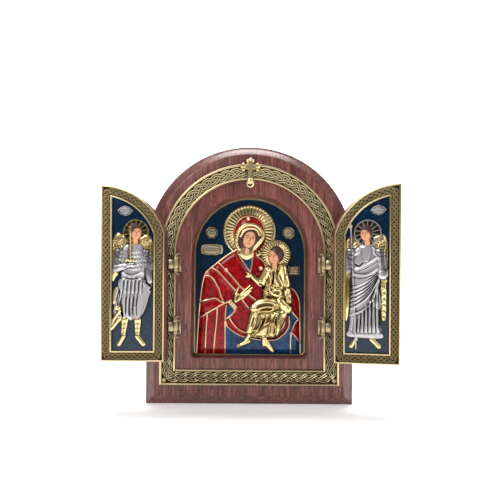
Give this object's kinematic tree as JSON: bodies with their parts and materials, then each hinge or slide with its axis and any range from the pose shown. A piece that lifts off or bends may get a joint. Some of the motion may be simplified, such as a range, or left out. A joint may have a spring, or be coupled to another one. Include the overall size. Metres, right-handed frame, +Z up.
{
  "type": "triptych altarpiece",
  "caption": "Small tabletop triptych: arched wooden case with an enamelled relief in a recess, and two hinged wings with relief figures that close over it.",
  "frame": {"origin": "centre of the case's underside", "axes": "+X to the right of someone who looks at the front, -Y out of the front, +Z up"},
  "size_m": [0.221, 0.0524, 0.2],
  "materials": {
    "mahogany": "satin mahogany with open pores",
    "antique_brass": "antique brass, dark in the hollows",
    "enamel_blue": "deep blue glossy enamel",
    "enamel_red": "translucent red glossy enamel",
    "gilt": "bright gilt, dark in the hollows",
    "silvered": "antique silver plate"
  },
  "bodies": {
    "root": {"case": "mahogany", "arch_band": "antique_brass", "crown_cross": "antique_brass", "icon_plate": "enamel_blue", "mother_relief": "enamel_red", "child_relief": "gilt", "medallion_left": "antique_brass", "medallion_right": "antique_brass", "plaque_oval": "antique_brass", "plaque_square": "antique_brass", "hinge_left_lower_bracket": "antique_brass", "hinge_left_lower_pin": "antique_brass", "hinge_left_upper_bracket": "antique_brass", "hinge_left_upper_pin": "antique_brass", "hinge_right_lower_bracket": "antique_brass", "hinge_right_lower_pin": "antique_brass", "hinge_right_upper_bracket": "antique_brass", "hinge_right_upper_pin": "antique_brass"},
    "wing_left": {"wing_left_leaf": "mahogany", "wing_left_frame": "antique_brass", "wing_left_field": "enamel_blue", "angel_left": "silvered", "wing_left_plaque": "silvered", "hinge_left_lower_knuckle": "antique_brass", "hinge_left_upper_knuckle": "antique_brass"},
    "wing_right": {"wing_right_leaf": "mahogany", "wing_right_frame": "antique_brass", "wing_right_field": "enamel_blue", "angel_right": "silvered", "wing_right_plaque": "silvered", "hinge_right_lower_knuckle": "antique_brass", "hinge_right_upper_knuckle": "antique_brass"}
  },
  "joints": [
    {"name": "wing_left_hinge", "type": "hinge", "parent": "root", "child": "wing_left", "pos_m": [-0.0556, -0.021, 0.084], "axis": [0, 0, 1], "range_deg": [0, 180]},
    {"name": "wing_right_hinge", "type": "hinge", "parent": "root", "child": "wing_right", "pos_m": [0.0556, -0.021, 0.084], "axis": [0, 0, -1], "range_deg": [-12, 168]}
  ]
}
